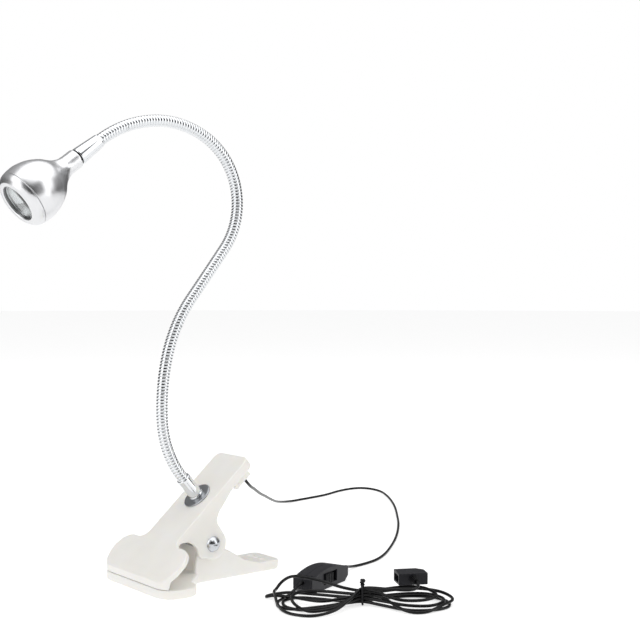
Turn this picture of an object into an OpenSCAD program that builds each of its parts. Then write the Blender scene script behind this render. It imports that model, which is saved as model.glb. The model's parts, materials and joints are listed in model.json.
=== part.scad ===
// Clip-on reading lamp: a spring clip, a wound gooseneck, a spun aluminium LED head and a
// thin lead with an in-line switch, a tied hank and a small right-angle connector.
// Units are millimetres. +X runs from the jaws to the tail, +Y along the clip's pin, +Z up.
// The origin is on the table, straight below the pin.

/* [Clip] */
// Distance from the pin to the front of the jaws
jaw_reach = 46.5; // [42:0.5:58]
// Distance from the pin to the end of the lower lever
tail_reach = 53.5; // [46:0.5:66]
// Width of the jaws
jaw_w = 76; // [62:1:92]
// Width of the handle on the upper lever
handle_w = 33.5; // [30:0.5:40]
// Length of the upper lever along its plate
lever_len = 96; // [90:1:116]
// Slope of the upper lever's plate when the jaws are shut
lever_tilt = 41; // [38:1:44]
// Height of the pin above the table
pin_h = 23; // [21:0.5:27]
// Thickness of the levers' plates
plate_t = 3; // [2.5:0.1:3.6]
// Thickness of the levers' cheeks
cheek_t = 3; // [2.5:0.1:3.6]
// Height of the lower jaw
lower_jaw_h = 5.1; // [4.5:0.1:6.2]
// Radius of the pin
pin_r = 2; // [1.6:0.1:2.6]
// Radius of the pin's domed head
pin_head_r = 4.75; // [3.8:0.05:6]

/* [Gooseneck] */
// Diameter of the wound hose
hose_d = 7; // [6:0.1:8.4]
// Length of one jointed stretch of hose; there are eight
hose_step = 39; // [32:1:47]
// Length of the chrome ferrule at the base
ferrule_len = 15; // [12:0.5:18]
// Radius of the ferrule
ferrule_r = 4.3; // [4.3:0.1:5.2]
// Radius of the washer under the ferrule
washer_r = 9.1; // [7.6:0.1:11]

/* [Head] */
// Greatest diameter of the lamp head
head_d = 35; // [29:0.5:42]
// Thickness of the spun shell
shell_t = 1.2; // [1:0.1:1.6]
// Length of the tapered collar behind the head
collar_len = 17; // [14:0.5:20.5]

/* [Lead] */
// Diameter of the lead
cord_d = 1.8; // [1.6:0.1:2.2]
// Length of the in-line switch
switch_len = 42; // [35:1:46]
// Height of the in-line switch
switch_h = 12; // [10:0.5:14.5]
// Width of the in-line switch
switch_w = 13; // [11:0.5:14]
// Height of the tied hank
hank_h = 8.4; // [7:0.1:10]

/* [Hidden] */

eps = 0.01;                 // a hair, so that cuts run past faces
run_gap = 0.05;             // radial gap of a turning fit
seat_gap = 0.02;            // gap between pieces that seat on each other
safe_gap = 0.35;            // gap between pieces that move past each other
$fn = 48;

// --- upper lever: its plate's frame has s along the slope, y across and t out of the plate
plate_front_z = lower_jaw_h + 4.9;
nose_gap = 0.3;             // between the shut jaws' lips
nose_h = 2.6;
nose_blend = 0.1;           // lets the nose's corners cross the jaw's sides at a slight angle
jaw_depth = 24;             // of the upper jaw, along the slope
jaw_corner_r = 11;
handle_corner_r = 5;
waist_r = 6;                // fillet between jaw and handle
rim_h = 6;                  // side walls of the handle, below the plate's face
boss_r = 9.4;               // upper lever's boss round the pin
cheek_out = handle_w / 2;
cheek_in = cheek_out - cheek_t;
pad_r = 7.8;                // thickened pad round the gooseneck's stud
pad_t = 1.5;
stud_r = 3.3;
stud_gap = 0.2;
function slope_x(s, t = 0) = -jaw_reach + s * cos(lever_tilt) - t * sin(lever_tilt);
function slope_z(s, t = 0) = plate_front_z + s * sin(lever_tilt) + t * cos(lever_tilt);
module on_slope() {
    translate([-jaw_reach, 0, plate_front_z]) rotate([0, -lever_tilt, 0]) children();
}

// --- gooseneck: turns of its eight stretches in degrees, left turns positive
hose_turns = [-38, -17, -25, 1, 49, 50, 36, 30];
hose_s = jaw_reach / cos(lever_tilt) - 0.8; // where it stands on the plate
hose_r = hose_d / 2;
hose_bore_r = hose_r - 1.3;
stub_r = hose_r - 0.2;      // its end, crimped into the ferrule
wires_r = 1.1;
washer_t = 1;
seat_depth = 6;             // of the hose in the ferrule
joint_gap = 0.92 * hose_r / 3.5; // half the gap at each bend
hose_x0 = slope_x(hose_s, washer_t + ferrule_len);
hose_z0 = slope_z(hose_s, washer_t + ferrule_len);
function turn_sum(i) = i == 0 ? 0 : turn_sum(i - 1) + hose_turns[i - 1];
function hose_heading(i) = 90 + lever_tilt + turn_sum(i);
function bend_r(i) = hose_step / (abs(hose_turns[i]) * PI / 180);
function chord(i) = 2 * bend_r(i) * sin(abs(hose_turns[i]) / 2);
function hose_at(i) = i == 0 ? [hose_x0, hose_z0] :
    hose_at(i - 1) + chord(i - 1)
        * [cos(hose_heading(i - 1) + hose_turns[i - 1] / 2),
           sin(hose_heading(i - 1) + hose_turns[i - 1] / 2)];

// --- head: z along its axis towards the light, 0 where the collar meets the hose
head_r = head_d / 2;
neck_r = 5.6;
neck_gap = 1.2;             // the dark ring between collar and neck
neck_z = collar_len + neck_gap;
bulge_z = neck_z + 34;      // widest ring
seam_z = bulge_z + 6;
front_z = bulge_z + 11;
face_r = head_r - 4;        // outer edge of the flat front ring
lens_r = head_r - 6.5;
module at_head() {
    translate([hose_at(8)[0], 0, hose_at(8)[1]]) rotate([0, 90 - hose_heading(8), 0]) children();
}

// --- lead
cord_r = cord_d / 2;
gland_s0 = lever_len - 16;
gland_s1 = lever_len - 3;
gland_w = 20;
gland_drop = 13;
exit_s = lever_len - 7;
exit_y = -7;
screw_s = gland_s0 + 3.6;   // the two screws that hold the gland
screw_y = [-4, 6];
screw_r = 1.25;
screw_head_h = 1.2;
// the switch stands on the table on its long edge; the lead runs through it at cord_z
switch_at = [45, -64];
switch_turn = 20;
cord_z = 6;
function switch_end(m) = [switch_at[0] + m * (switch_len / 2 - 1.5) * cos(switch_turn),
                          switch_at[1] + m * (switch_len / 2 - 1.5) * sin(switch_turn), cord_z];
// route of the lead from the gland to the switch, lying on the table after its fall
gland_exit = [slope_x(exit_s, -gland_drop), exit_y, slope_z(exit_s, -gland_drop)];
lead_route = [
    gland_exit + [0.1, 0, -0.1], gland_exit + [2.7, 0, -3.1], gland_exit + [9.8, 6, -7.1],
    [52, 13, 46.6], [73, 36, 38.5], [98, 64, 30],
    [124, 93, 21], [148, 119, 13], [171, 143, 6.4], [189, 158, 2.4], [203, 164, 0.95],
    [219, 166, 0.95], [238, 169, 0.95], [262, 177, 0.95], [280, 178, 0.95], [288, 169, 0.95],
    [286, 153, 0.95], [277, 135, 0.95], [262, 112, 0.95], [244, 88, 0.95], [224, 64, 0.95],
    [205, 42, 0.95], [184, 20, 0.95], [164, 1, 0.95], [144, -16, 0.95], [127, -29, 0.95],
    [113, -37, 0.95], [101, -40.5, 0.95], [90, -42.5, 1.2], [81, -46.5, 2.8], [74, -52, 5],
    [68, -55.6, cord_z], switch_end(1)];
// the hank lies in front of it
hank_at = [36, -112];
hank_turn = -37;
hank_len = 96;
hank_w = 42;
tail_route = [
    switch_end(-1), [22.5, -72.2, cord_z], [17.5, -73.6, 3.8], [12.5, -74.4, 1.6], [8.2, -75.6, 0.95]];
plug_at = [68, -117];
plug_turn = -28;
plug_len = 17;
plug_w = 12.5;
plug_h = 6.8;
plug_z = hank_h + 0.15;
plug_mid = plug_z + plug_h / 2;
plug_route = [
    [63.2, -126.1, plug_mid], [61.4, -129.5, plug_mid], [58.5, -133.2, hank_h + 2.8],
    [54, -134.6, hank_h + 1.8], [48.5, -132.4, hank_h + 1.1], [42.5, -126, hank_h + 0.95],
    [38, -119.5, hank_h + 0.95]];

// points of a smooth curve through a route, n steps between neighbours
function spline(a, b, c, d, t) =
    0.5 * ((2 * b) + (c - a) * t + (2 * a - 5 * b + 4 * c - d) * t * t
           + (3 * b - a - 3 * c + d) * t * t * t);
function smooth_route(p, n) = concat(
    [for (i = [0 : len(p) - 2], k = [0 : n - 1])
        spline(p[max(i - 1, 0)], p[i], p[i + 1], p[min(i + 2, len(p) - 1)], k / n)],
    [p[len(p) - 1]]);
function unit(v) = v / norm(v);
// a tube swept along points, with its rings square to the route
module sweep(p, r, sides = 8, up = [0, 0, 1]) {
    last = len(p) - 1;
    side = [for (i = [0 : last])
        let (t = unit(p[min(i + 1, last)] - p[max(i - 1, 0)]))
        [unit(cross(t, up)), unit(cross(cross(t, up), t))]];
    ring = [for (i = [0 : last], k = [0 : sides - 1])
        p[i] + r * (side[i][0] * cos(360 * (k + 0.5) / sides)
                    + side[i][1] * sin(360 * (k + 0.5) / sides))];
    walls = [for (i = [0 : last - 1], k = [0 : sides - 1])
        let (a = i * sides + k, b = i * sides + (k + 1) % sides)
        each [[a, b, b + sides], [a, b + sides, a + sides]]];
    ends = [[for (k = [sides - 1 : -1 : 0]) k],
            [for (k = [0 : sides - 1]) last * sides + k]];
    polyhedron(ring, concat(walls, ends), convexity = 6);
}

// a flat rectangle with round corners, from x0 to x1 and w wide
module plan(x0, x1, w, r) {
    translate([x0 + r, -w / 2]) square([x1 - x0 - 2 * r, w]);
    translate([x0, -w / 2 + r]) square([x1 - x0, w - 2 * r]);
    for (x = [x0 + r, x1 - r], y = [-w / 2 + r, w / 2 - r]) translate([x, y]) circle(r);
}
// both concave corners where a bar of half width y leaves an edge at x
module waist(x, y, r) {
    for (m = [0, 1]) mirror([0, m]) difference() {
        translate([x - 1, y - 1]) square([r + 1, r + 1]);
        translate([x + r, y + r]) circle(r);
    }
}
// a profile in the XZ plane, w thick about y
module wall(y, w) { translate([0, y + w / 2, 0]) rotate([90, 0, 0]) linear_extrude(w) children(); }
// a round bar along Y
module bar(r, y0, y1) { translate([0, y1, 0]) rotate([90, 0, 0]) cylinder(r = r, h = y1 - y0); }
module tube(r_out, r_in, h) {
    difference() {
        cylinder(r = r_out, h = h);
        translate([0, 0, -1]) cylinder(r = r_in, h = h + 2);
    }
}

// ---------------------------------------------------------------- clip
tail_w = 2 * cheek_in - 2 * safe_gap;
lower_out = tail_w / 2;             // outer face of the lower lever's cheeks
lower_in = lower_out - cheek_t;
lower_boss_r = boss_r - 1.2;
tail_h = 5.8;
lower_rear = -21;                   // rear edge of the lower jaw
recess_z = 2.6;                     // floor of the recesses in the lower lever

// --- torsion spring round the pin; its ends are angles on the coil
spring_r = 4.2;
spring_wire_r = 0.75;
spring_turns = 10;
spring_steps = 12;                  // straight steps in one turn
spring_half = lower_in - 1.6;       // half the length of the coil
spring_a0 = 246;
spring_a1 = 158;
spring_low = 37.5;                  // straight lengths of its arms
spring_high = 29.6;

module lower_plan() {
    plan(-jaw_reach, lower_rear, jaw_w, jaw_corner_r);
    plan(-jaw_reach + 8, tail_reach, tail_w, handle_corner_r);
    polygon([[lower_rear - eps, -jaw_w / 2 + jaw_corner_r + 2], [-9, -lower_out],
             [-9, lower_out], [lower_rear - eps, jaw_w / 2 - jaw_corner_r - 2]]);
}
module lower_cheek() {
    polygon([[-10.7, 2], [-10.7, 11], [-lower_boss_r, pin_h], [0, pin_h + 2],
             [lower_boss_r, pin_h - 3], [26, 9.2], [38, tail_h - 0.4], [38, 2]]);
    translate([0, pin_h]) circle(lower_boss_r);
}
module lower_lever() {
    color("#e6e4de") difference() {
        union() {
            intersection() {
                linear_extrude(tail_h) lower_plan();
                wall(0, jaw_w + 2) polygon([[-jaw_reach - 1, 0], [-jaw_reach - 1, lower_jaw_h],
                    [lower_rear, lower_jaw_h], [lower_rear + 7, tail_h], [tail_reach + 1, tail_h],
                    [tail_reach + 1, 1.6], [tail_reach - 3, 0]]);
            }
            for (m = [-1, 1]) wall(m * (lower_out + lower_in) / 2, cheek_t) lower_cheek();
        }
        translate([0, 0, pin_h]) bar(pin_r + run_gap, -jaw_w, jaw_w);
        // well under the spring's coil, and the recess for its low arm
        translate([-8.5, -lower_in, recess_z]) cube([17, 2 * lower_in, tail_h]);
        translate([8, -lower_in + safe_gap, recess_z]) cube([27, 2 * (lower_in - safe_gap), tail_h]);
        // grip hollows under the thumb
        for (y = [-6, 0, 6]) translate([44, y, tail_h + 3.6]) sphere(4.4);
        // pocket in the sole
        translate([-jaw_reach + 9, -jaw_w / 2 + 14, -1]) cube([20, jaw_w - 28, 3.4]);
    }
}

module upper_plan() {
    plan(-40, jaw_depth, jaw_w, jaw_corner_r);
    plan(2, lever_len, handle_w, handle_corner_r);
    waist(jaw_depth, handle_w / 2, waist_r);
}
module upper_cheek() {
    past = lever_len + 2;       // the handle's plan cuts it to length
    polygon([[slope_x(22, -1), slope_z(22, -1)], [-21.5, pin_h + 3.4], [-18, pin_h + 3.2],
             [-14.2, pin_h + 1.6], [-11.7, pin_h - 1.4], [-10.6, pin_h - 5.5], [-8.6, pin_h - 7.8],
             [0, pin_h - 8], [8.6, pin_h + 3.8], [5.6, pin_h + 8.4], [3.4, pin_h + 11.6],
             [2.9, pin_h + 14.6], [4.2, pin_h + 18.4], [11.7, pin_h + 28.4],
             [slope_x(lever_len - 20, -rim_h), slope_z(lever_len - 20, -rim_h)],
             [slope_x(past, -rim_h), slope_z(past, -rim_h)],
             [slope_x(past, -1), slope_z(past, -1)]]);
    translate([0, pin_h]) circle(boss_r);
}
module upper_lever() {
    lip_z = lower_jaw_h + nose_gap;
    color("#e9e8e4") difference() {
        union() {
            // the plate, with a lip that comes down on the lower jaw
            intersection() {
                on_slope() translate([0, 0, -16]) linear_extrude(20) upper_plan();
                linear_extrude(120) plan(-jaw_reach, 140, jaw_w + nose_blend, jaw_corner_r);
                wall(0, jaw_w + 20) polygon([
                    [-jaw_reach - 1, lip_z], [-jaw_reach - 1, lip_z + nose_h + 1],
                    [-jaw_reach + 0.9, lip_z + nose_h + 2.1],
                    [slope_x(4), slope_z(4)], [slope_x(lever_len + 1), slope_z(lever_len + 1)],
                    [slope_x(lever_len + 1, -plate_t), slope_z(lever_len + 1, -plate_t)],
                    [slope_x(4, -plate_t), slope_z(4, -plate_t)], [-jaw_reach + 3.6, lip_z]]);
            }
            // cheeks and end wall, trimmed to the handle's plan
            intersection() {
                union() {
                    for (m = [-1, 1]) wall(m * (cheek_in + cheek_t), 2 * cheek_t) upper_cheek();
                    on_slope() translate([lever_len - cheek_t, -handle_w, -rim_h + 0.3])
                        cube([cheek_t + 3, 2 * handle_w, rim_h - 1]);
                }
                on_slope() translate([0, 0, -80])
                    linear_extrude(80 - 0.5) plan(-60, lever_len, handle_w, handle_corner_r);
            }
            // the pad under the gooseneck
            on_slope() translate([hose_s, 0, -plate_t - pad_t]) cylinder(r = pad_r, h = pad_t + 1);
        }
        translate([0, 0, pin_h]) bar(pin_r + run_gap, -jaw_w, jaw_w);
        on_slope() translate([hose_s, 0, -20]) cylinder(r = stud_r + stud_gap, h = 30);
    }
}

module pivot_pin() {
    color("#d8dadd") {
        translate([0, 0, pin_h]) bar(pin_r, -cheek_out - seat_gap - 0.4, cheek_out + 2.2);
        // domed head on the near side
        dome_h = 3;
        ball_r = (pin_head_r * pin_head_r + dome_h * dome_h) / (2 * dome_h);
        translate([0, -cheek_out - seat_gap, pin_h]) rotate([90, 0, 0]) intersection() {
            translate([0, 0, dome_h - ball_r]) sphere(ball_r, $fn = 64);
            cylinder(r = pin_head_r, h = dome_h + 1);
        }
    }
}
module pin_collar() {
    color("#c9ccd0") translate([0, cheek_out + seat_gap + 1.2, pin_h]) rotate([90, 0, 0])
        tube(pin_head_r, pin_r + seat_gap, 1.2);
}

module torsion_spring() {
    // wound clockwise from its low arm, which lies in the lower lever's recess
    steps = spring_turns * spring_steps;
    turn = 360 * spring_turns + spring_a0 - spring_a1;
    coil = [for (i = [0 : steps]) let (a = spring_a0 - turn * i / steps)
        [spring_r * cos(a), spring_half * (2 * i / steps - 1), pin_h + spring_r * sin(a)]];
    low_end = coil[0] - spring_low * [sin(spring_a0), 0, -cos(spring_a0)];
    high_end = coil[steps] + spring_high * [sin(spring_a1), 0, -cos(spring_a1)];
    color("#b9bcc0") sweep(concat([low_end], coil, [high_end]), spring_wire_r, 6, [0, 1, 0]);
}

// ---------------------------------------------------------------- gooseneck foot
module base_washer() {
    color("#9b9da0") on_slope() translate([hose_s, 0, seat_gap]) difference() {
        cylinder(r = washer_r, h = washer_t - 2 * seat_gap);
        translate([0, 0, -1]) cylinder(r = stud_r + stud_gap, h = 4);
    }
}
module base_ferrule() {
    stud_len = plate_t + 9;
    color("#e3e5e8") on_slope() translate([hose_s, 0, washer_t]) difference() {
        union() {
            cylinder(r = ferrule_r, h = ferrule_len);
            translate([0, 0, -stud_len]) cylinder(r = stud_r, h = stud_len + 1);
        }
        translate([0, 0, ferrule_len - seat_depth]) cylinder(r = stub_r + seat_gap, h = 20);
        translate([0, 0, -30]) cylinder(r = 1.9, h = 60);
    }
}
module lock_washer() {
    color("#8d9094") on_slope() translate([hose_s, 0, -plate_t - pad_t - seat_gap - 0.8])
        tube(6, stud_r + run_gap, 0.8);
}
module base_nut() {
    color("#a9acb0") on_slope() translate([hose_s, 0, -plate_t - pad_t - 2 * seat_gap - 3.8])
        difference() {
            cylinder(r = 6.35, h = 3, $fn = 6);
            translate([0, 0, -1]) cylinder(r = stud_r + run_gap, h = 5);
        }
}
module cord_gland() {
    color("#e2e0d8") on_slope() translate([0, 0, -gland_drop]) difference() {
        translate([gland_s0, -gland_w / 2, 0])
            cube([gland_s1 - gland_s0 - seat_gap, gland_w, gland_drop - plate_t - seat_gap]);
        // the lead's channel
        translate([exit_s, exit_y, -1]) cylinder(r = cord_r + seat_gap, h = 6);
        // holes for the two screws
        for (y = screw_y) translate([screw_s, y, -1]) cylinder(r = screw_r + run_gap, h = 20);
    }
}
module gland_screws() {
    color("#8d9094") on_slope() for (y = screw_y)
        translate([screw_s, y, -gland_drop - screw_head_h - seat_gap]) {
            cylinder(r = 2.2, h = screw_head_h);
            cylinder(r = screw_r, h = gland_drop - plate_t - 0.6);
        }
}

// ---------------------------------------------------------------- gooseneck
// a bent tube that starts at the origin along +Z, less a gap at either end
module bent_tube(i, r_out, r_in, gap0, gap1) {
    r = bend_r(i);
    a0 = gap0 / r * 180 / PI;
    a1 = gap1 / r * 180 / PI;
    translate([hose_at(i)[0], 0, hose_at(i)[1]]) rotate([0, 90 - hose_heading(i), 0])
        mirror([hose_turns[i] < 0 ? 1 : 0, 0, 0]) translate([-r, 0, 0]) rotate([90, 0, 0])
            rotate([0, 0, a0]) rotate_extrude(angle = abs(hose_turns[i]) - a0 - a1, $fn = 64)
                translate([r, 0]) difference() {
                    circle(r_out, $fn = 32);
                    if (r_in > 0) circle(r_in, $fn = 32);
                }
}
module hose(i) {
    color("#c4c7cb") bent_tube(i, hose_r, hose_bore_r, i == 0 ? seat_gap : joint_gap,
                               i == 7 ? seat_gap : joint_gap);
    if (i == 0) color("#c4c7cb") on_slope()
        translate([hose_s, 0, washer_t + ferrule_len - seat_depth + seat_gap])
            tube(stub_r, hose_bore_r + 0.2, seat_depth + 0.3);
}
module wires(i) {
    color("#b03a30") bent_tube(i, wires_r, 0, i == 0 ? 0.1 : joint_gap, joint_gap);
}
module hose_1() { hose(0); }
module hose_2() { hose(1); }
module hose_3() { hose(2); }
module hose_4() { hose(3); }
module hose_5() { hose(4); }
module hose_6() { hose(5); }
module hose_7() { hose(6); }
module hose_8() { hose(7); }
module wires_1() { wires(0); }
module wires_2() { wires(1); }
module wires_3() { wires(2); }
module wires_4() { wires(3); }
module wires_5() { wires(4); }
module wires_6() { wires(5); }
module wires_7() { wires(6); }
module wires_8() { wires(7); }

// ---------------------------------------------------------------- head
module head_collar() {
    color("#e3e5e8") at_head() rotate_extrude() polygon([
        [hose_bore_r, 0], [hose_r + 0.4, 0], [hose_r + 0.55, 0.6], [neck_r - 0.5, collar_len - 0.6],
        [neck_r - 0.7, collar_len], [hose_bore_r, collar_len]]);
}
module neck_ring() {
    color("#3a3d42") at_head() translate([0, 0, collar_len + seat_gap])
        tube(neck_r - 1.2, hose_bore_r, neck_gap - 2 * seat_gap);
}
// outline of the spun shell: radius at distances behind the widest ring
shell_outline = [[0, 34], [0, 27], [0.35, 23.5], [2.0, 20], [4.0, 17.4], [6.8, 14.6], [9.0, 11],
                 [10.7, 7], [11.7, 3], [12, 0]];
module shell_half(inset) {
    spread = (head_r - neck_r) / 12;
    polygon(concat(
        [for (p = shell_outline) [neck_r + p[0] * spread - inset, bulge_z - p[1]]],
        [[head_r - 0.1 - inset, bulge_z + 3], [head_r - 0.4 - inset, seam_z],
         [0, seam_z], [0, bulge_z - 34]]));
}
module head_shell() {
    color("#cfd1d4") at_head() rotate_extrude($fn = 96) difference() {
        shell_half(0);
        difference() {
            shell_half(shell_t);
            translate([0, neck_z - 1]) square([head_d, 1 + shell_t]);
        }
        translate([0, neck_z - 1]) square([hose_bore_r, 30]);
        translate([0, seam_z - 1]) square([head_r - 0.4 - shell_t, 2]);
    }
}
module bezel_ring() {
    skirt_r = head_r - 0.4 - shell_t - run_gap;
    color("#d9dad9") at_head() rotate_extrude($fn = 96) difference() {
        polygon([[head_r - 0.45, seam_z + seat_gap], [head_r - 1.2, seam_z + 2.2],
                 [head_r - 2.6, front_z - 1.2], [face_r + 0.4, front_z - 0.25], [face_r, front_z],
                 [lens_r, front_z - 0.4], [lens_r, front_z - 2],
                 [lens_r + 1, front_z - 2], [lens_r + 1, seam_z - 3],
                 [skirt_r, seam_z - 3], [skirt_r, seam_z + seat_gap]]);
    }
}
module lens() {
    color("#dfe6ea", 0.4) at_head() translate([0, 0, front_z - 3.6])
        cylinder(r = lens_r + 1 - seat_gap, h = 1.6 - seat_gap);
}
module reflector() {
    color("#cdd0d4") at_head() rotate_extrude($fn = 64) polygon([
        [lens_r + 0.9, front_z - 3.65], [lens_r + 0.9, front_z - 5], [3.6, bulge_z - 3],
        [2.9, bulge_z - 3], [2.9, bulge_z - 2], [lens_r, front_z - 3.65]]);
}
module led_board() {
    color("#e8e8e4") at_head() translate([0, 0, bulge_z - 3 - 1.65])
        cylinder(r = 9, h = 1.6);
}
module led_emitter() {
    color("#e5d27a") at_head() translate([0, 0, bulge_z - 3 - 0.03]) {
        cylinder(r = 2.6, h = 1.2);
        translate([0, 0, 1.2]) intersection() {
            sphere(1.9);
            translate([0, 0, -0.2]) cylinder(r = 3, h = 3);
        }
    }
}
module heat_spreader() {
    color("#a7aaad") at_head() translate([0, 0, bulge_z - 3 - 1.7 - 3]) difference() {
        cylinder(r = 13.2, h = 2.98);
        translate([0, 0, -1]) cylinder(r = 1.6, h = 6);
    }
}

// ---------------------------------------------------------------- lead, switch, hank, plug
module lead_cord() { color("#17181a") sweep(smooth_route(lead_route, 2), cord_r); }
module switch_tail_cord() { color("#17181a") sweep(smooth_route(tail_route, 2), cord_r); }
module plug_cord() { color("#17181a") sweep(smooth_route(plug_route, 2), cord_r); }

module at_switch() {
    translate([switch_at[0], switch_at[1], 0]) rotate([0, 0, switch_turn]) children();
}
// side view of the switch: chamfered ends and a domed back
module switch_side() {
    h = switch_h;
    l = switch_len / 2;
    intersection() {
        polygon([[-l, 2.2], [-l + 3, 0], [l - 4, 0], [l, 3], [l, h - 3.6], [l - 5, h + 1],
                 [-l + 5, h + 1], [-l, h - 3]]);
        translate([0, h - 60]) circle(60, $fn = 160);
    }
}
window_len = 15;
window_h = 6.4;
wall_t = 1.6;
module switch_shell(side) {
    half = switch_w / 2;
    difference() {
        intersection() {
            wall(0, switch_w) switch_side();
            translate([-100, side < 0 ? -100 : 0.05, -1]) cube([200, 99.95, 100]);
        }
        // hollow inside
        translate([-switch_len / 2 + 4, -half + wall_t, wall_t])
            cube([switch_len - 8.5, switch_w - 2 * wall_t, switch_h - 2 * wall_t - 0.8]);
        // the lead's way in and out
        translate([0, 0, cord_z]) rotate([0, 90, 0])
            cylinder(r = cord_r + 0.1, h = switch_len + 20, center = true);
    }
}
module switch_base() { color("#2a2a2e") at_switch() switch_shell(1); }
module switch_cover() {
    color("#333338") at_switch() difference() {
        switch_shell(-1);
        translate([-window_len / 2, -switch_w, cord_z - window_h / 2])
            cube([window_len, switch_w - 2, window_h]);
    }
}
slider_len = 8.4;
module switch_slider() {
    half = switch_w / 2;
    color("#1d1d20") at_switch() difference() {
        translate([-window_len / 2 + 0.8, -half - 1.2, cord_z - window_h / 2 + safe_gap])
            cube([slider_len, half - 2, window_h - 2 * safe_gap]);
        for (i = [0 : 3]) translate([-window_len / 2 + 2.2 + i * 1.9, -half - 1.8, 0])
            cube([0.7, 1.2, 20]);
    }
}
module switch_contacts() {
    color("#c69a4b") at_switch() for (x = [-13, 9]) translate([x, 1, cord_z - 2]) cube([3, 0.8, 4]);
}
module at_hank() { translate([hank_at[0], hank_at[1], 0]) rotate([0, 0, hank_turn]) children(); }
module cord_hank() {
    color("#151618") at_hank() linear_extrude(hank_h) {
        square([hank_len - hank_w, hank_w], center = true);
        for (m = [-1, 1]) translate([m * (hank_len - hank_w) / 2, 0]) circle(hank_w / 2);
    }
}
module cord_tie() {
    color("#101113") at_hank() difference() {
        translate([-1.5, -hank_w / 2 - 0.6, 0]) cube([3, hank_w + 1.2, hank_h + 0.6]);
        translate([-3, -hank_w / 2 - seat_gap, -1]) cube([6, hank_w + 2 * seat_gap, hank_h + 1 + seat_gap]);
    }
}
module at_plug() {
    translate([plug_at[0], plug_at[1], plug_z]) rotate([0, 0, plug_turn]) children();
}
module plug_housing() {
    color("#2c2d30") at_plug() difference() {
        linear_extrude(plug_h) polygon([
            [-plug_len / 2, plug_w / 2], [plug_len / 2 - 4, plug_w / 2],
            [plug_len / 2, plug_w / 2 - 4], [plug_len / 2, -plug_w / 2], [-plug_len / 2, -plug_w / 2]]);
        // socket in the end
        translate([-plug_len / 2 - 1, -4.2, 1.4]) cube([9, 8.4, 3.6]);
    }
}
module plug_contacts() {
    color("#c9a052") at_plug() for (y = [-2, 2])
        translate([-plug_len / 2 + 2.5, y - 0.5, 2.7]) cube([5.48, 1, 1]);
}
module plug_relief() {
    color("#1c1d1f") at_plug() translate([0, -plug_w / 2 - seat_gap, plug_h / 2])
        rotate([90, 0, 0]) tube(2.4, cord_r + seat_gap, 7);
}

lower_lever();
upper_lever();
pivot_pin();
pin_collar();
torsion_spring();
base_washer();
base_ferrule();
lock_washer();
base_nut();
cord_gland();
gland_screws();
hose_1();
hose_2();
hose_3();
hose_4();
hose_5();
hose_6();
hose_7();
hose_8();
wires_1();
wires_2();
wires_3();
wires_4();
wires_5();
wires_6();
wires_7();
wires_8();
head_collar();
neck_ring();
head_shell();
bezel_ring();
lens();
reflector();
led_emitter();
led_board();
heat_spreader();
lead_cord();
switch_base();
switch_cover();
switch_slider();
switch_contacts();
switch_tail_cord();
cord_hank();
cord_tie();
plug_cord();
plug_relief();
plug_housing();
plug_contacts();
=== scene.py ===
import json
import math

import bmesh
import bpy
from mathutils import Matrix, Vector


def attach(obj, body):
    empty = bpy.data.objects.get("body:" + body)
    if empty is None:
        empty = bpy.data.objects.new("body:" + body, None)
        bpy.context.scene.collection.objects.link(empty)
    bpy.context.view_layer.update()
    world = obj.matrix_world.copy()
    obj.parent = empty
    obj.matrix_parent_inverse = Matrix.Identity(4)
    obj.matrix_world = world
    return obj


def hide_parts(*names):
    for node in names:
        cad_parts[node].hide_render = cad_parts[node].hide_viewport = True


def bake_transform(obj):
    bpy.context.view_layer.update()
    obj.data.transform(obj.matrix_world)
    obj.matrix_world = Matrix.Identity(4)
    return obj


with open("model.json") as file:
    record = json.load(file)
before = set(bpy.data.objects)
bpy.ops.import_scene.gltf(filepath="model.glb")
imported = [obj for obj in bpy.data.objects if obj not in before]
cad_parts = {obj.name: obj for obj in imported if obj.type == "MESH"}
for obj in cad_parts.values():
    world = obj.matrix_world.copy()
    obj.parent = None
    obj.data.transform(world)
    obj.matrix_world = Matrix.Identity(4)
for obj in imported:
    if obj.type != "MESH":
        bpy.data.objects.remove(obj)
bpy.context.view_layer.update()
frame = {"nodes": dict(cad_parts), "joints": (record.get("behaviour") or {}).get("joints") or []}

mm = 0.001
scene = bpy.context.scene
nodes = frame["nodes"]
joints = {joint["name"]: joint for joint in frame["joints"]}

cameraValues = {
    "place": (-0.40690, -0.62164, 0.18067),
    "turnDeg": 38.965,      # from +Y towards +X
    "downDeg": 1.304,
    "lens": 68.24,
    "sensor": 36,
}
cameraData = bpy.data.cameras.new("camera")
cameraData.lens = cameraValues["lens"]
cameraData.sensor_width = cameraValues["sensor"]
camera = bpy.data.objects.new("camera", cameraData)
camera.location = cameraValues["place"]
camera.rotation_euler = (
    math.radians(90 - cameraValues["downDeg"]), 0, -math.radians(cameraValues["turnDeg"]))
scene.collection.objects.link(camera)
scene.camera = camera
print("camera placed")


def linear(hexColour):
    # an sRGB hex value as the linear colour that the shaders take
    parts = [int(hexColour[i:i + 2], 16) / 255 for i in (1, 3, 5)]
    return [c / 12.92 if c <= 0.04045 else ((c + 0.055) / 1.055) ** 2.4 for c in parts] + [1]


def addNode(tree, kind, settings=None, links=None):
    # a node with its settings, by socket or property name, and the sockets that feed it;
    # a colour mix takes its two colours on sockets 6 and 7 and gives the result on 2
    node = tree.nodes.new(kind)
    for key, value in (settings or {}).items():
        if isinstance(key, str) and hasattr(node, key):
            setattr(node, key, value)
        else:
            node.inputs[key].default_value = value
    for key, source in (links or {}).items():
        tree.links.new(source, node.inputs[key])
    return node


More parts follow.
